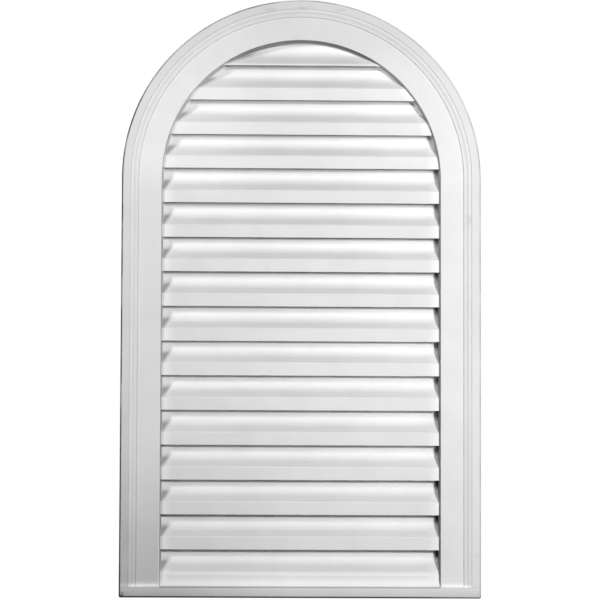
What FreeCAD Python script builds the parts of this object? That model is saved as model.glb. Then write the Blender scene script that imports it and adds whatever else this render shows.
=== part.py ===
import FreeCAD, Part
import math
import os

# Round-top gable vent, moulded as one piece of rigid urethane.
# Millimetres. The wall plane is y = 0, the face looks along -Y, and the
# origin is the middle of the bottom edge on the wall plane.

# Overall size
width = 457.2
height = 762.0
projection = 44.45

# Moulding round the edge, from the outside inwards
border_width = 11.5
ogee_width = 9.6
frame_width = 50.8
quirk = 1.3
ogee_drop = 3.4
corner_round = 2.0
outer_bevel = 1.2
border_bevel = 0.8
inner_bevel = 1.2
wall_draft_deg = 4.0

# Bottom rail, flush with the border
rail_height = 13.6
ledge = 1.5

# Louvre bank
lip_recess = 6.5
lip_height = 15.9
slot_height = 28.2
sill_lip_height = 19.0
sill_round = 14.0
top_gap = 30.0
least_lip = 2.0
foot_angle_deg = 44.0
head_angle_deg = 78.0
foot_rise = 11.5
bend_radius = 15.0
tail_rise = 7.0
lip_round = 0.8
blade_bite = 6.0

# Lengths worked out from those
spring_height = height - width / 2
face_front = projection - 2 * quirk - ogee_drop
lip_front = face_front - lip_recess
opening_half = width / 2 - frame_width
opening_top = height - frame_width
pitch = lip_height + slot_height
overshoot = 1.0
tolerance = 0.01

# A blade's slope: straight up from the lip, a bend, then a steep straight tail
foot_angle = math.radians(foot_angle_deg)
head_angle = math.radians(head_angle_deg)
foot_depth = foot_rise / math.tan(foot_angle)
bend_depth = foot_depth + bend_radius * (math.sin(head_angle) - math.sin(foot_angle))
bend_rise = foot_rise + bend_radius * (math.cos(foot_angle) - math.cos(head_angle))
blade_rise = slot_height + tail_rise
blade_depth = bend_depth + (blade_rise - bend_rise) / math.tan(head_angle)


def vector(x, y, z):
    return FreeCAD.Vector(x, y, z)


def line(start, end):
    return Part.LineSegment(start, end).toShape()


def arc(start, middle, end):
    return Part.Arc(start, middle, end).toShape()


def round_top(half):
    """A slab with straight legs and a half-round head, from the wall plane to the front."""
    left_foot = vector(-half, 0, 0)
    right_foot = vector(half, 0, 0)
    left_spring = vector(-half, 0, spring_height)
    right_spring = vector(half, 0, spring_height)
    crown = vector(0, 0, spring_height + half)
    outline = Part.Wire([
        line(left_foot, right_foot),
        line(right_foot, right_spring),
        arc(right_spring, crown, left_spring),
        line(left_spring, left_foot),
    ])
    return Part.Face(outline).extrude(vector(0, -projection, 0))


def solid_block():
    """The whole vent as a block, with its foot corners and front edge eased."""
    block = round_top(width / 2)
    block = block.makeFillet(corner_round, [edge for edge in block.Edges if is_foot_corner(edge)])
    front_edges = [edge for edge in block.Edges if edge.BoundBox.YMax < -projection + outer_bevel]
    return block.makeChamfer(outer_bevel, front_edges)


def is_foot_corner(edge):
    """True for the two edges that run from the wall to the front at the bottom corners."""
    box = edge.BoundBox
    return box.ZMax < tolerance and box.XLength < tolerance


def recess_section():
    """Half of what is cut out of the block, from the border to the middle of the opening."""

    def at(inward, out):
        return vector(-width / 2 + inward, -out, spring_height)

    ogee_start = border_width
    ogee_end = border_width + ogee_width
    ogee_top = projection - quirk
    ogee_foot = ogee_top - ogee_drop
    half_run = ogee_width / 2
    half_drop = ogee_drop / 2
    ogee_radius = (half_run ** 2 + half_drop ** 2) / (2 * half_drop)
    half_sweep = math.atan2(half_drop, half_run)
    sweep_run = ogee_radius * math.sin(half_sweep)
    sweep_drop = ogee_radius * (1 - math.cos(half_sweep))
    wall_run = math.tan(math.radians(wall_draft_deg)) * (face_front - inner_bevel + overshoot)

    above = at(border_width - border_bevel, projection + overshoot)
    border_edge = at(border_width - border_bevel, projection)
    border_side = at(border_width, projection - border_bevel)
    ogee_high = at(ogee_start, ogee_top)
    ogee_convex = at(ogee_start + sweep_run, ogee_top - sweep_drop)
    ogee_centre = at(ogee_start + half_run, ogee_top - half_drop)
    ogee_concave = at(ogee_end - sweep_run, ogee_foot + sweep_drop)
    ogee_low = at(ogee_end, ogee_foot)
    face_outer = at(ogee_end, face_front)
    face_inner = at(frame_width - inner_bevel, face_front)
    wall_top = at(frame_width, face_front - inner_bevel)
    wall_bottom = at(frame_width + wall_run, -overshoot)
    centre_bottom = at(width / 2, -overshoot)
    centre_top = at(width / 2, projection + overshoot)
    return Part.Face(Part.Wire([
        line(above, border_edge),
        line(border_edge, border_side),
        line(border_side, ogee_high),
        arc(ogee_high, ogee_convex, ogee_centre),
        arc(ogee_centre, ogee_concave, ogee_low),
        line(ogee_low, face_outer),
        line(face_outer, face_inner),
        line(face_inner, wall_top),
        line(wall_top, wall_bottom),
        line(wall_bottom, centre_bottom),
        line(centre_bottom, centre_top),
        line(centre_top, above),
    ]))


def recess():
    """The recess swept up both legs and round the head, stopping on the bottom rail."""
    section = recess_section()
    head = section.revolve(vector(0, 0, spring_height), vector(0, 1, 0), 180)
    left_leg = section.extrude(vector(0, 0, rail_height - spring_height))
    right_leg = left_leg.mirror(vector(0, 0, 0), vector(1, 0, 0))
    return head.fuse([left_leg, right_leg]).removeSplitter()


def cove_strip(x_start, x_end, foot_front):
    """A hollow-curved fillet that carries a face down onto the ledge of the bottom rail."""
    radius = projection - ledge - foot_front
    bulge = radius * (1 - math.sqrt(0.5))
    corner = vector(x_start, -foot_front + overshoot, rail_height - overshoot)
    back_top = vector(x_start, -foot_front + overshoot, rail_height + radius)
    face_top = vector(x_start, -foot_front, rail_height + radius)
    middle = vector(x_start, -foot_front - bulge, rail_height + bulge)
    toe = vector(x_start, -foot_front - radius, rail_height)
    toe_low = vector(x_start, -foot_front - radius, rail_height - overshoot)
    section = Part.Face(Part.Wire([
        line(corner, back_top),
        line(back_top, face_top),
        arc(face_top, middle, toe),
        line(toe, toe_low),
        line(toe_low, corner),
    ]))
    return section.extrude(vector(x_end - x_start, 0, 0))


def blade_point(depth, level):
    """A point at the left end of a blade, this far behind the lips."""
    return vector(-opening_half - blade_bite, depth - lip_front, level)


def slope_edges(base):
    """A blade's slope as edges, from the lip plane back to the top of its tail."""
    middle_angle = (foot_angle + head_angle) / 2
    middle_depth = foot_depth + bend_radius * (math.sin(middle_angle) - math.sin(foot_angle))
    middle_rise = foot_rise + bend_radius * (math.cos(foot_angle) - math.cos(middle_angle))
    start = blade_point(0, base)
    bend_start = blade_point(foot_depth, base + foot_rise)
    bend_middle = blade_point(middle_depth, base + middle_rise)
    bend_end = blade_point(bend_depth, base + bend_rise)
    tail = blade_point(blade_depth, base + blade_rise)
    edges = [line(start, bend_start), arc(bend_start, bend_middle, bend_end), line(bend_end, tail)]
    return start, tail, edges


def blade(lip_bottom, lip_top, solid_foot):
    """One louvre: a flat lip in front, a hollow slope behind it, and an underside of the same form."""
    full_bottom = lip_top - lip_height
    top_start, top_tail, edges = slope_edges(lip_top)
    if solid_foot:
        low_start = blade_point(0, lip_bottom)
        low_tail = blade_point(blade_depth, lip_bottom)
        edges.append(line(low_start, low_tail))
    else:
        low_start, low_tail, under_edges = slope_edges(full_bottom)
        edges += under_edges
    edges += [line(low_start, top_start), line(low_tail, top_tail)]
    section = Part.Face(Part.Wire(Part.__sortEdges__(edges)))
    length = 2 * (opening_half + blade_bite)
    body = section.extrude(vector(length, 0, 0))
    nose = sill_round if solid_foot else lip_round
    body = body.makeFillet(nose, [edge for edge in body.Edges if is_lip_edge(edge, lip_top)])
    if lip_bottom > full_bottom + tolerance:
        corner = vector(low_start.x - overshoot, -lip_front - overshoot, full_bottom - overshoot)
        drop = lip_bottom - corner.z
        body = body.cut(Part.makeBox(length + 2 * overshoot, blade_depth + 2 * overshoot, drop, corner))
    return body


def is_lip_edge(edge, lip_top):
    """True for the long top edge of a lip."""
    box = edge.BoundBox
    middle = box.Center
    on_lip = abs(middle.y + lip_front) < tolerance and abs(middle.z - lip_top) < tolerance
    return on_lip and box.XLength > opening_half


def louvre_bank():
    """The sill blade on the rail, then one at each pitch up to the head, all trimmed to end in the frame."""
    sill_top = rail_height + sill_lip_height
    blades = [blade(rail_height - overshoot, sill_top, True)]
    first_bottom = sill_top + slot_height
    highest_top = opening_top - top_gap
    count = int((highest_top - least_lip - first_bottom) / pitch) + 1
    for index in range(count):
        lip_bottom = first_bottom + index * pitch
        lip_top = min(lip_bottom + lip_height, highest_top)
        blades.append(blade(lip_bottom, lip_top, False))
    return Part.makeCompound(blades).common(round_top(opening_half + blade_bite))


def gable_vent():
    frame = solid_block().cut(recess())
    recess_half = width / 2 - border_width
    left_cove = cove_strip(-recess_half - overshoot, -opening_half - inner_bevel, face_front)
    right_cove = left_cove.mirror(vector(0, 0, 0), vector(1, 0, 0))
    sill_cove = cove_strip(-opening_half - overshoot, opening_half + overshoot, lip_front)
    pieces = louvre_bank().Solids + [left_cove, right_cove, sill_cove]
    return frame.fuse(pieces).removeSplitter()


vent = gable_vent()
os.makedirs("parts", exist_ok=True)
vent.Solids[0].exportStep("parts/gable_vent.step")
print("solids", len(vent.Solids), "valid", vent.isValid(), "litres", round(vent.Volume / 1e6, 3))
print("box", vent.optimalBoundingBox())
print("lips", round(lip_front, 2), "from the wall, blades", round(blade_depth, 2), "deep")
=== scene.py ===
# %% [markdown]
# A gable vent, dressed for its portrait.
# The real thing is one moulding of rigid urethane foam, sprayed with white primer: a stepped
# frame with a half-round head, a plain bottom rail, and a bank of louvres that run into the frame.
# This lesson loads the measured part as a fixed frame, rebuilds its skin with softer edges than
# the solid has, paints it, and lights it as a plain studio shot.

# %% Load the measured part
import math
import random

import bmesh
import bpy
from mathutils import Matrix, Vector


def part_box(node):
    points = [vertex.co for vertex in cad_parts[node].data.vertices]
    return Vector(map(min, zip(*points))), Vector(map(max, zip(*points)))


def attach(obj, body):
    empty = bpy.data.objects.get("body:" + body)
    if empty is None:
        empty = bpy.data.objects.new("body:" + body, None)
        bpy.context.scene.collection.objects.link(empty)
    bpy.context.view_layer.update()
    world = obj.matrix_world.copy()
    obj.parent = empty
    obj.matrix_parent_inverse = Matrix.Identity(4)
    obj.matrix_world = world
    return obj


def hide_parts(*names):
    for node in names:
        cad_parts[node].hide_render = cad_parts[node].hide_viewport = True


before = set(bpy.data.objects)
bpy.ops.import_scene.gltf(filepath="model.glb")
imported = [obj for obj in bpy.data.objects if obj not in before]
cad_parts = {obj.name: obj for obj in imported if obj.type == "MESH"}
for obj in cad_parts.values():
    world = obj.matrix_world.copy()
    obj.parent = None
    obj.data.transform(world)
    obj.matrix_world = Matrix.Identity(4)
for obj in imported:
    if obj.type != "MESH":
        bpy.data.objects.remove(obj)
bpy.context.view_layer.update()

# %% [markdown]
# Sizes come first. The overall width, height and depth are read from the loaded part, so the skin
# can't drift from it. The rest are the mould maker's own figures, in millimetres, turned into
# metres once. The face looks along -Y, the wall is the plane y = 0, and Z is up.

# %% Sizes
MM = 0.001
part_low, part_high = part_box("gable_vent")
HALF_WIDTH = (part_high.x - part_low.x) / 2
HEIGHT = part_high.z - part_low.z
DEPTH = part_high.y - part_low.y

BORDER_WIDTH = 11.5 * MM
OGEE_WIDTH = 9.6 * MM
FRAME_WIDTH = 50.8 * MM
QUIRK = 1.3 * MM
OGEE_DROP = 3.4 * MM
WALL_DRAFT = math.radians(4)
RAIL_HEIGHT = 13.6 * MM
LEDGE = 1.5 * MM

LIP_RECESS = 6.5 * MM
LIP_HEIGHT = 15.9 * MM
SLOT_HEIGHT = 28.2 * MM
SILL_LIP_HEIGHT = 19 * MM
SILL_ROUND = 14 * MM
TOP_GAP = 30 * MM
LEAST_LIP = 2 * MM
FOOT_ANGLE = math.radians(44)
HEAD_ANGLE = math.radians(78)
FOOT_RISE = 11.5 * MM
BEND_RADIUS = 15 * MM
TAIL_RISE = 7 * MM
BLADE_BITE = 6 * MM

SPRING = HEIGHT - HALF_WIDTH
FACE = DEPTH - 2 * QUIRK - OGEE_DROP
LIP_FRONT = FACE - LIP_RECESS
OPENING_HALF = HALF_WIDTH - FRAME_WIDTH
OPENING_TOP = HEIGHT - FRAME_WIDTH
PITCH = LIP_HEIGHT + SLOT_HEIGHT
SPARE = 1 * MM
print("spring line", round(SPRING, 4), "face", round(FACE, 4), "lips", round(LIP_FRONT, 4))

# %% [markdown]
# Nearly every form here is a section carried along something: the moulding round the head, a
# blade across the opening. One small function, loft, joins a row of equal rings of points into a
# closed skin. A curve with a bevel could do the straight ones, but it thins the section at a
# corner, and rings keep the section exact.

# %% Lofts and arcs
HEAD_STEPS = 96
CORNER_STEPS = 4


def loft(name, rings):
    """A closed mesh object through rings of points, with a flat cap at each end."""
    mesh = bmesh.new()
    loops = [[mesh.verts.new(point) for point in ring] for ring in rings]
    for ring, following in zip(loops, loops[1:]):
        for here in range(len(ring)):
            ahead = (here + 1) % len(ring)
            mesh.faces.new((ring[here], ring[ahead], following[ahead], following[here]))
    mesh.faces.new(reversed(loops[0]))
    mesh.faces.new(loops[-1])
    bmesh.ops.recalc_face_normals(mesh, faces=mesh.faces)
    data = bpy.data.meshes.new(name)
    mesh.to_mesh(data)
    mesh.free()
    return bpy.data.objects.new(name, data)


def arc(centre, radius, start, end, steps):
    """Points of an arc in a plane, from one angle to the other, ends included."""
    turn = (end - start) / steps
    angles = [start + turn * step for step in range(steps + 1)]
    return [(centre[0] + radius * math.cos(a), centre[1] + radius * math.sin(a)) for a in angles]


def outline(half, foot, corner=0.0):
    """The vent's round-top outline in the plane of the wall, as (x, z) points."""
    head = arc((0, SPRING), half, 0, math.pi, HEAD_STEPS)
    if not corner:
        return [(-half, foot), (half, foot)] + head
    left = arc((corner - half, foot + corner), corner, math.pi, math.pi * 1.5, CORNER_STEPS)
    right = arc((half - corner, foot + corner), corner, math.pi * 1.5, math.pi * 2, CORNER_STEPS)
    return left + right + head


def slab(name, half, foot, front, back):
    """A round-top slab between two depths, measured out from the wall."""
    shape = outline(half, foot)
    return loft(name, [[(x, -out, z) for x, z in shape] for out in (front, back)])


print("head drawn in", HEAD_STEPS, "steps, each corner in", CORNER_STEPS)

# %% [markdown]
# The block is the whole outline at full depth, with the front edge rolled over by a quarter round.
# Each ring of the roll is the same outline, drawn a little smaller and a little further forward,
# so the bottom corners come out as neat as the head. Those corners are softened too, in plan.

# %% The block
OUTER_ROUND = 1.2 * MM
CORNER_ROUND = 2 * MM
ROUND_STEPS = 5


def front_block():
    """The outline at full depth, with its front edge rolled over."""
    rings = [[(x, 0, z) for x, z in outline(HALF_WIDTH, 0, CORNER_ROUND)]]
    for inward, out in arc((0, 0), OUTER_ROUND, 0, math.pi / 2, ROUND_STEPS):
        inset = OUTER_ROUND - inward
        shape = outline(HALF_WIDTH - inset, inset, CORNER_ROUND - inset)
        rings.append([(x, -(DEPTH - OUTER_ROUND + out), z) for x, z in shape])
    return loft("block", rings)


block = front_block()
print("block", len(block.data.polygons), "faces")

# %% [markdown]
# The moulding is cut out of the block the way a shaper knife would leave it: a flat border, a small
# square step (the quirk), an S-shaped ogee, a second quirk, a flat face and a drafted inner wall.
# The knife's section is drawn once and carried up one leg, round the head and down the other.

# %% The knife that cuts the moulding
BORDER_ROUND = 0.8 * MM
INNER_ROUND = 1.2 * MM
OGEE_STEPS = 10
KNIFE_REACH = 12 * MM
CORE_OVERLAP = 4 * MM


def knife_section():
    """The cut as (inward, out) points: inward from the outer edge, out from the wall."""
    half_run = OGEE_WIDTH / 2
    half_drop = OGEE_DROP / 2
    radius = (half_run ** 2 + half_drop ** 2) / (2 * half_drop)
    sweep = 2 * math.atan2(half_drop, half_run)
    top = DEPTH - QUIRK
    foot = top - OGEE_DROP
    end = BORDER_WIDTH + OGEE_WIDTH
    quarter = math.pi / 2
    wall_run = math.tan(WALL_DRAFT) * (FACE - INNER_ROUND + SPARE)
    points = [(BORDER_WIDTH - BORDER_ROUND, DEPTH + SPARE)]
    points += arc((BORDER_WIDTH - BORDER_ROUND, DEPTH - BORDER_ROUND), BORDER_ROUND, quarter, 0, ROUND_STEPS)
    points += arc((BORDER_WIDTH, top - radius), radius, quarter, quarter - sweep, OGEE_STEPS)
    points += arc((end, foot + radius), radius, -quarter - sweep, -quarter, OGEE_STEPS)[1:]
    points += [(end, FACE)]
    points += arc((FRAME_WIDTH - INNER_ROUND, FACE - INNER_ROUND), INNER_ROUND, quarter, 0, ROUND_STEPS)
    points += [(FRAME_WIDTH + wall_run, -SPARE)]
    points += [(FRAME_WIDTH + KNIFE_REACH, -SPARE), (FRAME_WIDTH + KNIFE_REACH, DEPTH + SPARE)]
    return points


def moulding_knife():
    """The section at the left foot, at each step round the head, and at the right foot."""
    section = knife_section()

    def leg(side):
        return [(side * (HALF_WIDTH - inward), -out, RAIL_HEIGHT) for inward, out in section]

    def spoke(turn):
        reaches = [(HALF_WIDTH - inward, out) for inward, out in section]
        return [(reach * math.cos(turn), -out, SPRING + reach * math.sin(turn)) for reach, out in reaches]

    turns = [math.pi - math.pi * step / HEAD_STEPS for step in range(HEAD_STEPS + 1)]
    return loft("knife", [leg(-1)] + [spoke(turn) for turn in turns] + [leg(1)])


knife = moulding_knife()
core = slab("core", OPENING_HALF - CORE_OVERLAP, RAIL_HEIGHT, DEPTH + SPARE, -SPARE)
print("knife", len(knife.data.polygons), "faces")

# %% [markdown]
# Each louvre has a flat lip in front and a hollow slope behind it: straight at first, then bent
# almost upright, so rain that gets in runs back out over the lip. The underside repeats the same
# line, which keeps the slot between two blades even. Arcs and straight runs are joined point by
# point here, because each has a size that can be measured on the vent.

# %% Blade sections
BEND_STEPS = 14
NOSE_STEPS = 12
TIP_STEPS = 6
LIP_ROUND = 0.8 * MM
TIP_ROUND = 0.25 * MM


def slope_line(base):
    """A blade's slope as (depth behind the lips, height) points, from the lip to the tail's top."""
    foot_depth = FOOT_RISE / math.tan(FOOT_ANGLE)
    points = [(0, base)]
    for step in range(BEND_STEPS + 1):
        angle = FOOT_ANGLE + (HEAD_ANGLE - FOOT_ANGLE) * step / BEND_STEPS
        depth = foot_depth + BEND_RADIUS * (math.sin(angle) - math.sin(FOOT_ANGLE))
        rise = FOOT_RISE + BEND_RADIUS * (math.cos(FOOT_ANGLE) - math.cos(angle))
        points.append((depth, base + rise))
    depth, height = points[-1]
    top = base + SLOT_HEIGHT + TAIL_RISE
    points.append((depth + (top - height) / math.tan(HEAD_ANGLE), top))
    return points


def above(points, level):
    """The part of a rising line of points that is over a level, with the crossing point first."""
    kept = []
    for lower, upper in zip(points, points[1:]):
        if lower[1] < level < upper[1]:
            share = (level - lower[1]) / (upper[1] - lower[1])
            kept.append((lower[0] + share * (upper[0] - lower[0]), level))
        if upper[1] > level:
            kept.append(upper)
    return kept


def eased(before, corner, after, radius, steps):
    """Points of a round that takes the place of the corner between two straight lines."""
    here = Vector(corner)
    back = (Vector(before) - here).normalized()
    onward = (Vector(after) - here).normalized()
    half = back.angle(onward) / 2
    centre = here + (back + onward).normalized() * radius / math.sin(half)
    start = here + back * radius / math.tan(half) - centre
    end = here + onward * radius / math.tan(half) - centre
    turns = [start.lerp(end, step / steps).normalized() for step in range(steps + 1)]
    return [tuple(centre + turn * radius) for turn in turns]


def blade_section(lip_bottom, lip_top, nose=LIP_ROUND, solid_foot=False):
    """A blade's whole outline: the lip, its rounded edges, the slope and the underside."""
    slope = slope_line(lip_top)
    front = eased((0, lip_bottom), (0, lip_top), slope[1], nose, NOSE_STEPS) + slope[1:]
    if solid_foot:
        return [(0, lip_bottom)] + front + [(slope[-1][0], lip_bottom)]
    under = above(slope_line(lip_top - LIP_HEIGHT), lip_bottom)
    tip = eased(under[0], (0, lip_bottom), (0, lip_top), TIP_ROUND, TIP_STEPS)
    return tip + front + list(reversed(under))


print("a slope has", len(slope_line(0)), "points")

# %% [markdown]
# A section becomes a blade when it is carried straight across the opening, a little past both sides,
# so that its ends sink into the frame. The lowest blade is a sill, solid down to the rail and with a
# broad round nose, and the top one has only a sliver of lip because the head leaves it no room. That
# sliver is dressed a little thinner still, by TOP_TRIM. One blade serves for all those between.

# %% Blades
TOP_TRIM = 0.9 * MM


def across(name, section, half):
    """A section of (depth, height) points behind the lip plane, carried across the opening."""
    rings = [[(x, depth - LIP_FRONT, height) for depth, height in section] for x in (-half, half)]
    return loft(name, rings)


sill_top = RAIL_HEIGHT + SILL_LIP_HEIGHT
first_bottom = sill_top + SLOT_HEIGHT
highest_top = OPENING_TOP - TOP_GAP
blade_count = int((highest_top - LEAST_LIP - first_bottom) / PITCH) + 1
top_bottom = first_bottom + (blade_count - 1) * PITCH + TOP_TRIM
reach = OPENING_HALF + BLADE_BITE
blade = across("blade", blade_section(0, LIP_HEIGHT), reach)
sill_blade = across("sill_blade", blade_section(RAIL_HEIGHT - SPARE, sill_top, SILL_ROUND, True), reach)
top_blade = across("top_blade", blade_section(top_bottom, highest_top), reach)
clip = slab("clip", reach, 0, DEPTH, 0)
print("blades", blade_count + 1, "pitch", round(PITCH, 4), "top lip", round(highest_top - top_bottom, 4))

# %% [markdown]
# Where the faces come down on the bottom rail, the mould has a hollow fillet instead of a sharp
# corner. Two short strips carry the flat face down to the ledge, and one long strip does the same
# for the lowest lip.

# %% Fillets on the rail
FILLET_STEPS = 10


def rail_fillet(name, start, end, face):
    """A hollow strip between two x places, from a face at this depth down to the ledge."""
    radius = DEPTH - LEDGE - face
    hollow = arc((face + radius, RAIL_HEIGHT + radius), radius, math.pi, math.pi * 1.5, FILLET_STEPS)
    section = [(face - SPARE, RAIL_HEIGHT - SPARE), (face - SPARE, RAIL_HEIGHT + radius)]
    section += hollow + [(face + radius, RAIL_HEIGHT - SPARE)]
    return loft(name, [[(x, -out, z) for out, z in section] for x in (start, end)])


edge = HALF_WIDTH - BORDER_WIDTH + SPARE
inner = OPENING_HALF + INNER_ROUND
fillets = [
    rail_fillet("left_fillet", -edge, -inner, FACE),
    rail_fillet("right_fillet", inner, edge, FACE),
    rail_fillet("sill_fillet", -OPENING_HALF - SPARE, OPENING_HALF + SPARE, LIP_FRONT),
]
print("fillets", [item.name for item in fillets])

# %% [markdown]
# The lower left corner has been knocked, and two small bites are out of its edge. Each bite is a
# lump with its points pushed about at random, and the seed keeps it the same in every run.

# %% Bites in the corner
BITES = [((-224.9, -45.2, 1.6), 2.0), ((-223.0, -45.6, 5.0), 1.9)]
BITE_SEED = 5
BITE_ROUGH = 0.3


def bite(index, place, size):
    """A small rough lump, in millimetres, to be cut out of the skin."""
    draw = random.Random(BITE_SEED + index)
    lump = bmesh.new()
    bmesh.ops.create_icosphere(lump, subdivisions=2, radius=size * MM)
    for point in lump.verts:
        point.co *= 1 + draw.uniform(-BITE_ROUGH, BITE_ROUGH)
        point.co += Vector(place) * MM
    data = bpy.data.meshes.new("bite")
    lump.to_mesh(data)
    lump.free()
    return bpy.data.objects.new("bite_%d" % index, data)


bites = [bite(index, place, size) for index, (place, size) in enumerate(BITES)]
print("bites", len(bites))

# %% [markdown]
# Node trees, for geometry and for paint, are easier to read as expressions. Tree adds a node with
# its settings and inputs in one call and returns its output as a Value, and a Value can be added,
# multiplied or subtracted like a number: each operator drops one Math node.

# %% Node trees as expressions
class Value:
    """An output socket that can stand in a Python expression."""

    def __init__(self, tree, socket):
        self.tree = tree
        self.socket = socket

    def maths(self, operation, first, second):
        return self.tree.node("ShaderNodeMath", {"operation": operation}, {0: first, 1: second})

    def __add__(self, other):
        return self.maths("ADD", self, other)

    def __radd__(self, other):
        return self.maths("ADD", other, self)

    def __sub__(self, other):
        return self.maths("SUBTRACT", self, other)

    def __rsub__(self, other):
        return self.maths("SUBTRACT", other, self)

    def __mul__(self, other):
        return self.maths("MULTIPLY", self, other)

    def __rmul__(self, other):
        return self.maths("MULTIPLY", other, self)


class Tree:
    """Adds nodes to a tree and hands back their outputs."""

    def __init__(self, tree):
        self.tree = tree

    def node(self, kind, settings=None, inputs=None, output=0):
        made = self.tree.nodes.new(kind)
        for name, value in (settings or {}).items():
            setattr(made, name, value)
        for key, value in (inputs or {}).items():
            self.feed(made.inputs[key], value)
        return Value(self, made.outputs[output])

    def feed(self, socket, value):
        """Links a Value to a socket, or each of a list of them, or sets a plain value."""
        for one in value if isinstance(value, list) else [value]:
            if isinstance(one, Value):
                self.tree.links.new(one.socket, socket)
            else:
                socket.default_value = one


def grey(level):
    """An opaque grey, as a colour socket takes it."""
    return (level, level, level, 1)


print("trees ready, mid grey is", grey(0.5))

# %% [markdown]
# Now the assembly, in one Geometry Nodes tree. A line of points sets out the blades at their pitch,
# and a small seeded shift per blade keeps them as uneven as a hand-laid pattern. Of many seeds tried,
# this one lands the blades nearest to where they sit on the real vent. The bank is trimmed to the
# opening, the knife and the core come out of the block, and a union makes one skin of it all, because
# the real vent is one moulding. The Manifold solver does these cuts in well under a second.

# %% Assembly tree
BLADE_WANDER = 0.5 * MM
WANDER_SEED = 30743


def boolean(tree, operation, meshes, base=None):
    inputs = {"Mesh 2": meshes}
    if base is not None:
        inputs["Mesh 1"] = base
    return tree.node("GeometryNodeMeshBoolean", {"operation": operation, "solver": "MANIFOLD"}, inputs)


def held(tree, item):
    """The mesh of an object that is made in this script."""
    return tree.node("GeometryNodeObjectInfo", {}, {"Object": item}, "Geometry")


def assembly_tree(material):
    """Blades set out and trimmed, the block cut, and all of it joined as one skin."""
    group = bpy.data.node_groups.new("vent_moulding", "GeometryNodeTree")
    for name, kind in (("Pitch", "NodeSocketFloat"), ("First lip", "NodeSocketFloat"),
                       ("Blades", "NodeSocketInt"), ("Wander", "NodeSocketFloat")):
        group.interface.new_socket(name, in_out="INPUT", socket_type=kind)
    group.interface.new_socket("Geometry", in_out="OUTPUT", socket_type="NodeSocketGeometry")
    tree = Tree(group)
    given = group.nodes.new("NodeGroupInput")
    pitch, first, count, wander = [Value(tree, socket) for socket in list(given.outputs)[:4]]
    start = tree.node("ShaderNodeCombineXYZ", {}, {"Z": first})
    step = tree.node("ShaderNodeCombineXYZ", {}, {"Z": pitch})
    points = tree.node("GeometryNodeMeshLine", {}, {"Count": count, "Start Location": start, "Offset": step})
    shift = tree.node("FunctionNodeRandomValue", {"data_type": "FLOAT"},
                      {"Min": -1.0, "Max": 1.0, "Seed": WANDER_SEED}, "Value")
    lift = tree.node("ShaderNodeCombineXYZ", {}, {"Z": shift * wander})
    points = tree.node("GeometryNodeSetPosition", {}, {"Geometry": points, "Offset": lift})
    rows = tree.node("GeometryNodeInstanceOnPoints", {}, {"Points": points, "Instance": held(tree, blade)})
    rows = tree.node("GeometryNodeRealizeInstances", {}, {"Geometry": rows})
    bank = tree.node("GeometryNodeJoinGeometry", {},
                     {"Geometry": [rows, held(tree, sill_blade), held(tree, top_blade)]})
    bank = boolean(tree, "INTERSECT", [bank, held(tree, clip)])
    tools = [held(tree, item) for item in [knife, core] + bites]
    cut = boolean(tree, "DIFFERENCE", tools, held(tree, block))
    whole = boolean(tree, "UNION", [cut, bank] + [held(tree, item) for item in fillets])
    whole = tree.node("GeometryNodeRealizeInstances", {}, {"Geometry": whole})
    whole = tree.node("GeometryNodeSetMaterial", {}, {"Geometry": whole, "Material": material})
    result = group.nodes.new("NodeGroupOutput")
    tree.feed(result.inputs[0], whole)
    return group


print("blades shift by up to", round(BLADE_WANDER / MM, 2), "mm")

# %% [markdown]
# The finish is sprayed primer: a plain matt white with the fine orange peel that a spray gun leaves.
# Years of storage have greyed it where dust and hands get at it. All of that depends on where a point lies
# on the moulding, so a small painter's toolbox comes first: soft steps, soft lines, oval blots, and how far
# a point is in from the outline or back behind the lips. Everything reads Object coordinates, which are in
# metres here, so it stays put in every view.
# Much of the grey painted below is painted shade and painted shadow, and the extra white is painted light.

# %% A toolbox for painting
BLOT_CORE = 0.35
SHOULDER_RIGHT, SHOULDER_BORDER = 0.4, 0.55


class Paint(Tree):
    """A shader tree with the measures that the primer needs."""

    def __init__(self, tree):
        super().__init__(tree)
        self.place = self.node("ShaderNodeTexCoord", {}, {}, "Object")
        split = self.tree.nodes.new("ShaderNodeSeparateXYZ")
        self.feed(split.inputs[0], self.place)
        self.x, self.y, self.z = [Value(self, socket) for socket in split.outputs]

    def maths(self, operation, first, second=0.0):
        return self.node("ShaderNodeMath", {"operation": operation}, {0: first, 1: second})

    def noise(self, scale, detail):
        return self.node("ShaderNodeTexNoise", {}, {"Vector": self.place, "Scale": scale, "Detail": detail})

    def span(self, value, start, end, low=0.0, high=1.0):
        """A soft step: low at start, high at end."""
        return self.node("ShaderNodeMapRange", {"interpolation_type": "SMOOTHSTEP"}, {
            "Value": value, "From Min": start, "From Max": end, "To Min": low, "To Max": high})

    def stripe(self, value, centre, half_width):
        """A soft line: 1 where the value is at the centre, 0 from half_width away."""
        return self.span(self.maths("ABSOLUTE", value - centre), half_width, 0.0)

    def blot(self, x, z, half_width, half_height):
        """A soft oval in the plane of the face, in millimetres: 1 in its middle and 0 outside it."""
        away = self.node("ShaderNodeVectorMath", {"operation": "SUBTRACT"},
                         {0: self.place, 1: (x * MM, 0, z * MM)})
        scaled = self.node("ShaderNodeVectorMath", {"operation": "MULTIPLY"},
                           {0: away, 1: (1 / (half_width * MM), 0, 1 / (half_height * MM))})
        reach = self.node("ShaderNodeVectorMath", {"operation": "LENGTH"}, {0: scaled}, "Value")
        return self.span(reach, 1.0, BLOT_CORE)


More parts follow.
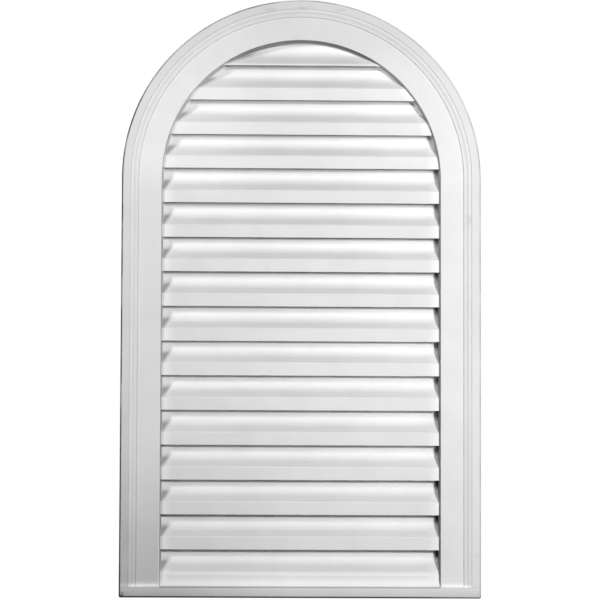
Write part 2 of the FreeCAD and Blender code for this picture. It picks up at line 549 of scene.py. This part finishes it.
class VentPaint(Paint):
    """Paint that knows the vent: its outline, its inner wall and its lips."""

    def __init__(self, tree):
        super().__init__(tree)
        over = self.maths("MAXIMUM", self.z - SPRING, 0.0)
        radius = self.maths("SQRT", self.x * self.x + over * over)
        self.inward = HALF_WIDTH - radius
        drafted = self.maths("MAXIMUM", self.y + (FACE - INNER_ROUND), 0.0) * math.tan(WALL_DRAFT)
        self.off_wall = self.inward - FRAME_WIDTH - drafted
        opening = OPENING_HALF - drafted
        self.from_left = self.x + self.maths("SQRT", opening * opening - over * over)
        self.behind_lips = self.y + LIP_FRONT
        self.front = self.span(self.y, -0.028, -0.034)
        self.before_tails = self.span(self.y, -8 * MM, -12 * MM)
        self.above_rail = self.maths("GREATER_THAN", self.z, RAIL_HEIGHT)
        self.inside = self.maths("GREATER_THAN", self.off_wall, 0.0) * self.above_rail
        sides = self.span(self.x, -0.03, -0.14) + self.span(self.x, 0.03, 0.14) * SHOULDER_RIGHT
        sides = sides * self.span(self.inward, BORDER_WIDTH, BORDER_WIDTH + OGEE_WIDTH, SHOULDER_BORDER)
        self.shoulders = self.span(self.z, SPRING - 0.055, SPRING + 0.03) * sides


print("painter's measures ready")

# %% [markdown]
# The outer edge carries painted shade, as an arris turned away from the lamps would show: grey all along the
# left and nearly black along the foot, lighter on the head and the right side. The rail itself darkens
# towards its foot.

# %% Painted shade along the outer edge
RIM_REACH = 2.6 * MM
RIM_LEFT, RIM_HEAD, RIM_RIGHT, RIM_FOOT = 0.9, 0.58, 0.28, 1.0
RAIL_SHADE = 0.18


# Painted shade along the outer edge, broken up by slow noise, and a darkening down the rail.
def rim_shade(paint, drift):
    arris = paint.span(paint.y, 3 * MM - DEPTH, 1 * MM - DEPTH)
    patchy = paint.span(drift, 0.35, 0.65, 0.75, 1.35)
    sides = paint.span(paint.x, -0.12, 0.12, RIM_HEAD, RIM_RIGHT)
    sides = (sides + paint.span(paint.x, -0.15, -0.22, 0.0, RIM_LEFT - RIM_HEAD)) * patchy
    sides = sides * paint.span(paint.inward, RIM_REACH, 0.3 * RIM_REACH)
    foot = paint.span(paint.z, 2.6 * MM, 1.2 * MM) * paint.span(paint.x, 0.12, 0.21, RIM_FOOT, 0.6)
    rail = paint.span(paint.z, RAIL_HEIGHT, 1 * MM) * RAIL_SHADE
    return arris * paint.maths("MAXIMUM", sides, foot) + rail


print("rim grime reaches", round(RIM_REACH / MM, 2), "mm in from the outline")

# %% [markdown]
# Painted shade keeps to the frame's corners. It draws a line in both quirks and a fainter one along the
# ogee's turn, lies on the drafted wall round the opening, and marks where the sill and the legs meet the
# rail. The lines are soft stripes at a distance in from the outline, so they follow the head and the legs
# alike.

# %% Painted shade on the frame
# Distance in from the outline, half-width and darkness of each line
QUIRK_LINES = [
    (BORDER_WIDTH + 0.3 * MM, 0.9 * MM, 0.18),
    (BORDER_WIDTH + 0.45 * OGEE_WIDTH, 0.8 * MM, 0.06),
    (BORDER_WIDTH + OGEE_WIDTH, 1.0 * MM, 0.38),
]
WALL_LEFT, WALL_RIGHT, WALL_CROWN = 0.48, 0.72, 0.27
SILL_LINE, LEG_LINE = 0.5, 0.12


# Painted shade lines in the quirks and along the ogee's turn.
def quirk_shade(paint):
    total = 0.0
    for centre, half_width, darkness in QUIRK_LINES:
        total = paint.stripe(paint.inward, centre, half_width) * darkness + total
    return total * paint.span(paint.x, -0.2, 0.2, 0.6, 1.0) * paint.above_rail * paint.front


# Painted shade on the drafted wall round the opening, darkest on the right and at the crown.
def wall_shade(paint):
    on_wall = paint.span(paint.off_wall, -1.1 * MM, -0.3 * MM)
    on_wall = on_wall * paint.span(paint.off_wall, 0.6 * MM, 0.2 * MM)
    on_wall = on_wall * paint.span(paint.y, 0.1 * MM - FACE, 0.9 * MM - FACE) * paint.above_rail
    on_wall = on_wall * paint.before_tails
    level = paint.span(paint.x, -0.17, 0.17, WALL_LEFT, WALL_RIGHT)
    level = level + paint.span(paint.z, 0.6, 0.05, -0.12, 0.12)
    level = level + paint.span(paint.z, 0.67, 0.7) * WALL_CROWN
    deep = paint.span(paint.z, 0.55, 0.59) * paint.span(paint.y, 13 * MM - FACE, 23 * MM - FACE)
    level = level - deep * paint.span(paint.x, -0.06, 0.04, 0.0, 0.6)
    return on_wall * paint.maths("MAXIMUM", level, 0.0)


# Painted shade lines where the sill and the legs meet the rail.
def rail_corner_shade(paint):
    inside = paint.maths("GREATER_THAN", paint.inward, FRAME_WIDTH)
    sill = paint.stripe(paint.z, RAIL_HEIGHT - 0.1 * MM, 1.7 * MM) * inside * SILL_LINE
    leg = paint.stripe(paint.z, RAIL_HEIGHT, 0.9 * MM) * (1 - inside) * LEG_LINE
    return (sill + leg) * paint.front


print("dust lines in from the outline, mm", [round(line[0] / MM, 1) for line in QUIRK_LINES])

# %% [markdown]
# On the louvres, painted shadow fills the slot ends, deep on the right and at the foot of the slope on the
# left, where the frame's edges would cast it. Painted shade also greys the slopes in the middle and at the
# back, and draws a line under the topmost lip. It is placed by depth behind the lips, so one rule serves
# every blade.

# %% Painted shade on the louvres
SLOT_DEEP, SLOT_FOOT = 1.0, 0.42
MIDDLE_SLOPE_SHADE, SHADE_LEFT, SHADE_RIGHT = 0.085, 0.19, 0.07
HIGH_LINE, LOW_LINE = 0.42, 0.3
TOP_LINE = 0.6


# Painted shadow in the slot ends: deep on the right, at the foot of the slope on the left.
def slot_end_shadow(paint):
    deep = paint.span(paint.behind_lips, 14.8 * MM, 17.3 * MM) * paint.span(paint.off_wall, 6.5 * MM, 1 * MM)
    right = deep * paint.span(paint.z, 0.62, 0.1, 0.4, SLOT_DEEP) * paint.span(paint.x, 0.05, 0.14)
    right = right * paint.span(paint.z, 0.63, 0.56) * paint.before_tails
    corner = paint.span(paint.from_left - paint.behind_lips * 0.55, 2.8 * MM, -1.0 * MM)
    foot = paint.span(paint.behind_lips, 16.5 * MM, 12.5 * MM) * paint.span(paint.behind_lips, 0.0, 2 * MM)
    left = corner * foot * SLOT_FOOT * paint.span(paint.x, -0.015, -0.06)
    left = left * paint.span(paint.off_wall, 0.2 * MM, 1.2 * MM)
    return (right + left) * paint.inside


def slope_shade(paint):
    """Painted shade greys the middle of each slope and the back of each slot, and draws a shadow line under
    the lips.
    """
    middle = paint.span(paint.maths("ABSOLUTE", paint.x), 0.165, 0.03)
    middle = middle * paint.span(paint.behind_lips, 0.5 * MM, 3 * MM)
    middle = middle * paint.span(paint.behind_lips, 12 * MM, 17.5 * MM, 1.0, 0.35)
    middle = middle * paint.span(paint.z, 0.05, 0.36, 0.35, 1.0) * paint.span(paint.z, 0.67, 0.64, 0.4, 1.0)
    back = paint.span(paint.behind_lips, 15.8 * MM, 18.6 * MM) * paint.span(paint.off_wall, 8 * MM, 18 * MM)
    back = back * paint.span(paint.x, -0.1, 0.16, SHADE_LEFT, SHADE_RIGHT)
    line = paint.span(paint.z, 0.30, 0.42) * HIGH_LINE + paint.span(paint.z, 0.17, 0.1) * LOW_LINE
    line = line * paint.span(paint.behind_lips, 17.35 * MM, 18.0 * MM)
    line = line * paint.span(paint.off_wall, 0.3 * MM, 2 * MM)
    return (middle * MIDDLE_SLOPE_SHADE + paint.maths("MAXIMUM", back, line)) * paint.inside


def top_lip_shadow(paint):
    """A painted shadow line under the topmost lip."""
    shallow = paint.span(paint.behind_lips, 14 * MM, 12 * MM)
    shallow = shallow * paint.span(paint.off_wall, 0.5 * MM, 3 * MM)
    return paint.stripe(paint.z, top_bottom, 0.9 * MM) * shallow * paint.inside * TOP_LINE


print("slot ends darkened by up to", SLOT_DEEP, "and slopes by", MIDDLE_SLOPE_SHADE)

# %% [markdown]
# Then come the marks of this one vent. A grey bloom darkens the left leg towards its foot and the lips
# beside it, the head, the proud border and a belt below the spring line are a little duller than the rest,
# and there are small smudges and a chipped corner, each an oval with a ragged edge.

# %% Marks on the vent
# Ovals as (x, z, half-width, half-height) in millimetres, and how dark each is
SMUDGES = [
    ((-224.2, 3.4, 2.8, 5.6), 0.5),
    ((213.1, 480.5, 6.0, 9.5), 0.10),
    ((215.6, 482.0, 1.3, 5.5), 0.16),
    ((197.0, 471.0, 4.5, 2.0), 0.07),
    ((194.0, 468.0, 2.6, 1.6), 0.06),
    ((-110.9, 67.6, 5.0, 2.2), 0.12),
    ((-40.7, 749.5, 12.0, 3.5), 0.12),
    ((4.1, 752.0, 16.0, 3.0), 0.12),
    ((48.9, 749.5, 11.0, 3.0), 0.10),
    ((222.8, 53.7, 1.2, 1.2), 0.30),
]
LEG_BLOOM, LEG_HAZE, RAIL_BLOOM, HEAD_HAZE, BORDER_HAZE = 0.24, 0.05, 0.22, 0.06, 0.06
BELT_HAZE, LIP_HAZE = 0.035, 0.075


def smudges(paint, breakup):
    total = 0.0
    for oval, darkness in SMUDGES:
        total = paint.blot(*oval) * darkness + total
    return total * paint.front * paint.span(breakup, 0.3, 0.55, 0.3, 1.0)


# Darker on the lower left leg and the left of the rail, and a little duller on the head, the border, a belt
# of lips and lower slopes, and the lower left lips.
def bloom(paint):
    on_frame = paint.maths("LESS_THAN", paint.inward, FRAME_WIDTH - INNER_ROUND) * paint.above_rail
    on_left = on_frame * paint.maths("LESS_THAN", paint.x, 0.0)
    rising = paint.span(paint.z, 0.2, 0.02) * paint.span(paint.z, RAIL_HEIGHT, RAIL_HEIGHT + 8 * MM)
    leg = on_left * (rising * LEG_BLOOM + paint.span(paint.z, 0.5, 0.2) * LEG_HAZE)
    rail = (1 - paint.above_rail) * paint.span(paint.x, 0.02, -0.18) * RAIL_BLOOM
    head = on_frame * paint.span(paint.z, SPRING + 0.1, SPRING + 0.19) * HEAD_HAZE
    border = paint.maths("LESS_THAN", paint.inward, BORDER_WIDTH) * paint.above_rail * BORDER_HAZE
    right = paint.maths("GREATER_THAN", paint.x, 0.0)
    lighter_right = right * paint.span(paint.z, 0.42, 0.15, 0.0, 0.8)
    darker_left = (1 - right) * paint.span(paint.z, 0.28, 0.21) * paint.span(paint.z, 0.04, 0.09)
    border = border * (1 - lighter_right + darker_left)
    belt = paint.span(paint.z, 0.27, 0.36) * paint.span(paint.z, 0.56, 0.5) * BELT_HAZE
    belt = belt * paint.span(paint.behind_lips, 11 * MM, 7 * MM)
    lips = paint.span(paint.behind_lips, 0.6 * MM, 0.3 * MM, 0.45, 1.0) * paint.inside * LIP_HAZE
    lips = lips * paint.span(paint.x, 0.0, -0.12) * paint.span(paint.z, 0.5, 0.05)
    return leg + rail + head + border + belt + lips


print("smudges", len(SMUDGES))

# %% [markdown]
# Now the primer itself. A few specks of dust are caught in it. Painted light whitens it in the hollow of
# each blade, on its rounded edge, at its ends, and in the fillets along the rail, with painted highlights
# along the quirks and at the feet of the legs. The louvres under the head and the shoulders of the frame,
# the left one most, are painted whiter too.

# %% Specks and painted light
SPECK_SCALE = 60
SPECK_SIZE = 0.045
SPECK_SHARE = 0.18
SPECK_DARKNESS = 0.22
# Strength of the painted light and painted highlights on each place
HOLLOW_LIGHT, NOSE_HIGHLIGHT, END_LIGHT, QUIRK_HIGHLIGHT = 0.6, 0.8, 1.0, 0.5
UPPER_LIGHT, SHOULDER_LIGHT = 0.4, 0.75


def specks(paint):
    cells = {"Vector": paint.place, "Scale": SPECK_SCALE}
    spot = paint.node("ShaderNodeTexVoronoi", {}, cells, "Distance")
    tint = paint.node("ShaderNodeTexVoronoi", {}, cells, "Color")
    chance = paint.node("ShaderNodeSeparateColor", {}, {"Color": tint}, "Red")
    chosen = paint.maths("LESS_THAN", chance, SPECK_SHARE)
    return paint.maths("LESS_THAN", spot, SPECK_SIZE) * chosen * SPECK_DARKNESS


def painted_light(paint):
    """How much painted light whitens the primer, from 0 on the flats to 1 in the fillets on the rail."""
    hollow = paint.span(paint.behind_lips, 8 * MM, 11.5 * MM) * HOLLOW_LIGHT
    hollow = hollow + paint.span(paint.z, 0.57, 0.66) * UPPER_LIGHT
    nose = paint.span(paint.behind_lips, 1.8 * MM, 0.8 * MM) * NOSE_HIGHLIGHT
    hollow = hollow + nose * paint.span(paint.behind_lips, 0.02 * MM, 0.12 * MM)
    ends = paint.span(paint.off_wall, 18 * MM, 2 * MM) * END_LIGHT
    sill = paint.span(paint.z, RAIL_HEIGHT + 14 * MM, RAIL_HEIGHT + 3 * MM)
    bank = paint.maths("MAXIMUM", paint.maths("MAXIMUM", hollow, ends), sill) * paint.inside
    on_leg = paint.maths("GREATER_THAN", paint.inward, BORDER_WIDTH) * (1 - paint.inside) * paint.above_rail
    legs = paint.span(paint.z, RAIL_HEIGHT + 5 * MM, RAIL_HEIGHT + 1 * MM) * on_leg * paint.front
    total = bank + legs + paint.shoulders * SHOULDER_LIGHT
    for line in (BORDER_WIDTH, BORDER_WIDTH + OGEE_WIDTH):
        total = total + paint.stripe(paint.inward, line + 1.9 * MM, 1.0 * MM) * on_leg * QUIRK_HIGHLIGHT
    return paint.maths("MINIMUM", total, 1.0)


print("specks in", SPECK_SHARE, "of the cells")

# %% [markdown]
# All of that comes together in one material. The white runs from plain to the white of painted light,
# painted shade and dirt mix it towards grey, a slow mottle shifts the tone by a hair, and a bump node gives
# the orange peel. The gloss is low, as on primer.

# %% Primer
PRIMER_WHITE = grey(0.84)
# The white that painted light mixes towards.
HIGHLIGHT_WHITE = grey(0.96)
# The grey that painted shade and dirt mix towards.
GREY_OF_SHADE_AND_DIRT = grey(0.05)
PEEL_SCALE = 520
MOTTLE_SCALE = 26
BREAKUP_SCALE = 180
DRIFT_SCALE = 22
MOTTLE_DEPTH = 0.035
ROUGHNESS, ROUGHNESS_MOTTLE = 0.58, 0.12
PEEL_STRENGTH, PEEL_HEIGHT = 0.06, 0.4 * MM
GLOSS = 0.2


def primer():
    """The vent's one material."""
    material = bpy.data.materials.new("primed_urethane")
    material.use_nodes = True
    paint = VentPaint(material.node_tree)
    shader = material.node_tree.nodes["Principled BSDF"]
    mottle = paint.noise(MOTTLE_SCALE, 4.0)
    breakup = paint.noise(BREAKUP_SCALE, 3.0)
    drift = paint.noise(DRIFT_SCALE, 2.0)
    peel = paint.noise(PEEL_SCALE, 2.0)
    # Painted shade, painted shadow and real dirt, summed into one mix towards grey.
    shade_and_dirt = rim_shade(paint, drift) + quirk_shade(paint) + wall_shade(paint) + slot_end_shadow(paint)
    shade_and_dirt = shade_and_dirt + slope_shade(paint) + top_lip_shadow(paint) + rail_corner_shade(paint)
    shade_and_dirt = shade_and_dirt + smudges(paint, breakup) + bloom(paint) + specks(paint)
    shade_and_dirt = paint.maths("MINIMUM", shade_and_dirt + paint.span(mottle, 0.35, 0.7, 0.0, MOTTLE_DEPTH), 1.0)
    white = paint.node("ShaderNodeMix", {"data_type": "RGBA"}, {
        "Factor": painted_light(paint), "A": PRIMER_WHITE, "B": HIGHLIGHT_WHITE}, "Result")
    colour = paint.node("ShaderNodeMix", {"data_type": "RGBA"}, {
        "Factor": shade_and_dirt, "A": white, "B": GREY_OF_SHADE_AND_DIRT}, "Result")
    paint.feed(shader.inputs["Base Color"], colour)
    paint.feed(shader.inputs["Roughness"], ROUGHNESS + mottle * ROUGHNESS_MOTTLE)
    bump = paint.node("ShaderNodeBump", {}, {
        "Strength": PEEL_STRENGTH, "Distance": PEEL_HEIGHT, "Height": peel})
    paint.feed(shader.inputs["Normal"], bump)
    shader.inputs["Specular IOR Level"].default_value = GLOSS
    return material


primed = primer()
print("material", primed.name, len(primed.node_tree.nodes), "nodes")

# %% [markdown]
# The tree runs once and leaves a plain mesh. Edges sharper than a third of a right angle stay crisp,
# the rest is shaded smooth, and weighted normals keep the flat faces flat beside their rounds.

# %% The moulding
SMOOTH_UNDER = math.radians(32)
FLAT_WEIGHT = 100


def moulded(name, group, sizes):
    """Runs a tree on an empty object and keeps the result as a plain mesh."""
    carrier = bpy.data.objects.new(name + "_carrier", bpy.data.meshes.new(name + "_carrier"))
    bpy.context.scene.collection.objects.link(carrier)
    modifier = carrier.modifiers.new("build", "NODES")
    modifier.node_group = group
    sockets = {item.name: item.identifier for item in group.interface.items_tree if item.in_out == "INPUT"}
    for key, value in sizes.items():
        modifier[sockets[key]] = value
    graph = bpy.context.evaluated_depsgraph_get()
    data = bpy.data.meshes.new_from_object(carrier.evaluated_get(graph))
    bpy.data.objects.remove(carrier)
    piece = bpy.data.objects.new(name, data)
    data.name = name
    bpy.context.scene.collection.objects.link(piece)
    return piece


vent = moulded("vent_moulding", assembly_tree(primed), {
    "Pitch": PITCH, "First lip": first_bottom, "Blades": blade_count - 1, "Wander": BLADE_WANDER,
})
vent.data.polygons.foreach_set("use_smooth", [True] * len(vent.data.polygons))
vent.data.set_sharp_from_angle(angle=SMOOTH_UNDER)
weighted = vent.modifiers.new("even_normals", "WEIGHTED_NORMAL")
weighted.keep_sharp = True
weighted.weight = FLAT_WEIGHT
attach(vent, "root")
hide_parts("gable_vent")
print("moulding", len(vent.data.vertices), "points", len(vent.data.polygons), "faces")

# %% [markdown]
# The photograph was taken with a long lens from a little below and a hair to the left. The camera
# is set by those angles round the middle of the vent.

# %% Camera
CAMERA_DISTANCE = 4.0
CAMERA_AZIMUTH = math.radians(-1.6)
CAMERA_ELEVATION = math.radians(-4.47)
CAMERA_ROLL = math.radians(0.21)
FOCAL_PIXELS = 3130
IMAGE_PIXELS = 600
CENTRE_X = 300.63
CENTRE_Y = 298.36
SENSOR = 36.0


def direction(azimuth, elevation):
    """A unit vector from the vent towards a place seen at these angles from its front."""
    level = math.cos(elevation)
    return Vector((math.sin(azimuth) * level, -math.cos(azimuth) * level, math.sin(elevation)))


middle = Vector((0, -0.02, HEIGHT / 2))
lens = bpy.data.cameras.new("camera")
lens.sensor_width = SENSOR
lens.lens = FOCAL_PIXELS / IMAGE_PIXELS * SENSOR
lens.shift_x = (IMAGE_PIXELS / 2 - CENTRE_X) / IMAGE_PIXELS
lens.shift_y = (CENTRE_Y - IMAGE_PIXELS / 2) / IMAGE_PIXELS
camera = bpy.data.objects.new("camera", lens)
bpy.context.scene.collection.objects.link(camera)
away = direction(CAMERA_AZIMUTH, CAMERA_ELEVATION)
camera.location = middle + away * CAMERA_DISTANCE
camera.rotation_mode = "QUATERNION"
roll = Matrix.Rotation(CAMERA_ROLL, 3, "Z").to_quaternion()
camera.rotation_quaternion = (-away).to_track_quat("-Z", "Y") @ roll
bpy.context.scene.camera = camera
print("lens", round(lens.lens, 1), "mm at", camera.location)

# %% [markdown]
# Two soft boxes light the face: a strong one low on the right, which throws the frame's edge across
# the right ends of the slots, and a weaker one higher on the left. Both are turned a little up and
# away, so the lower left corner falls off in tone. Two more serve the other views: one low behind the
# wall plane, which shows the back and shines up under the blades, so that little of it comes out
# through the slots, and one straight overhead, for the top of the head and the floor.

# %% Lamps
KEY = {"azimuth": 22, "elevation": 3, "power": 7.5, "aim": (0.3, 0, 0.45)}
SIDE = {"azimuth": -36, "elevation": 16, "power": 3.1, "aim": (-0.15, 0, 0.5)}
BACK = {"azimuth": 215, "elevation": -14, "power": 2.0, "aim": (0, 0, 0.4)}
OVERHEAD = {"azimuth": 0, "elevation": 90, "power": 6.0, "aim": (0, -0.02, 0)}
LAMP_DISTANCE = 2.4
LAMP_SIZE = 0.29
LAMP_SPREAD = math.radians(75)


def soft_box(name, azimuth, elevation, power, aim):
    """A round area lamp at these angles from the vent, turned towards a place."""
    lamp = bpy.data.lights.new(name, "AREA")
    lamp.energy = power
    lamp.shape = "DISK"
    lamp.size = LAMP_SIZE
    lamp.spread = LAMP_SPREAD
    box = bpy.data.objects.new(name, lamp)
    bpy.context.scene.collection.objects.link(box)
    box.location = middle + direction(math.radians(azimuth), math.radians(elevation)) * LAMP_DISTANCE
    box.rotation_mode = "QUATERNION"
    box.rotation_quaternion = (Vector(aim) - box.location).to_track_quat("-Z", "Y")
    return box


soft_box("key", **KEY)
soft_box("side", **SIDE)
soft_box("back", **BACK)
soft_box("overhead", **OVERHEAD)

# %% [markdown]
# The world is white to the camera and to reflections, and almost black to everything else, so the
# deep corners stay dark. A Light Path node tells those rays apart, which gives a white background
# without any more light on the vent.

# %% World
FILL_LEVEL = 0.006


def seen_rays(tree):
    """1 for the rays that picture something: from the camera, or by reflection or refraction."""
    path = tree.tree.nodes.new("ShaderNodeLightPath")
    seen = Value(tree, path.outputs["Is Camera Ray"])
    for name in ("Is Glossy Ray", "Is Transmission Ray"):
        seen = seen.maths("MAXIMUM", seen, Value(tree, path.outputs[name]))
    return seen


def studio_world():
    """White where it is pictured, and a faint fill elsewhere."""
    world = bpy.data.worlds.new("studio")
    world.use_nodes = True
    world.node_tree.nodes.clear()
    tree = Tree(world.node_tree)
    fill = tree.node("ShaderNodeBackground", {}, {"Color": grey(1), "Strength": FILL_LEVEL})
    white = tree.node("ShaderNodeBackground", {}, {"Color": grey(1), "Strength": 1.0})
    mixed = tree.node("ShaderNodeMixShader", {}, {0: seen_rays(tree), 1: fill, 2: white})
    result = world.node_tree.nodes.new("ShaderNodeOutputWorld")
    tree.feed(result.inputs["Surface"], mixed)
    return world


bpy.context.scene.world = studio_world()
bpy.context.scene.view_settings.view_transform = "Standard"
print("world", bpy.context.scene.world.name, "fill", FILL_LEVEL)

# %% [markdown]
# A pale round floor lies a hand's breadth below the vent and takes its shadow in the other views.
# It is pale to the camera but dull to bounced light, so it doesn't lift the shadows under the
# louvres, and it fades out towards its rim.

# %% Floor
FLOOR_DROP = 0.12
FLOOR_RADIUS = 1.0
FLOOR_SIDES = 64
FLOOR_PALE, FLOOR_DULL = grey(0.85), grey(0.015)


def floor_paint():
    """Pale where it is pictured, dull to other light, and clear towards the rim."""
    material = bpy.data.materials.new("floor")
    material.use_nodes = True
    material.node_tree.nodes.clear()
    paint = Paint(material.node_tree)
    pale = paint.node("ShaderNodeBsdfDiffuse", {}, {"Color": FLOOR_PALE})
    dull = paint.node("ShaderNodeBsdfDiffuse", {}, {"Color": FLOOR_DULL})
    clear = paint.node("ShaderNodeBsdfTransparent", {}, {})
    radius = paint.maths("SQRT", paint.x * paint.x + paint.y * paint.y)
    both = paint.node("ShaderNodeMixShader", {}, {0: seen_rays(paint), 1: dull, 2: pale})
    faded = paint.node("ShaderNodeMixShader", {}, {
        0: paint.span(radius, 0.5 * FLOOR_RADIUS, FLOOR_RADIUS), 1: both, 2: clear})
    result = material.node_tree.nodes.new("ShaderNodeOutputMaterial")
    paint.feed(result.inputs["Surface"], faded)
    return material


disc = arc((0, 0), FLOOR_RADIUS, 0, math.tau, FLOOR_SIDES)[:-1]
floor_data = bpy.data.meshes.new("floor")
floor_data.from_pydata([(x, y, -FLOOR_DROP) for x, y in disc], [], [list(range(len(disc)))])
floor_data.materials.append(floor_paint())
floor = bpy.data.objects.new("floor", floor_data)
bpy.context.scene.collection.objects.link(floor)
print("floor at", -FLOOR_DROP)
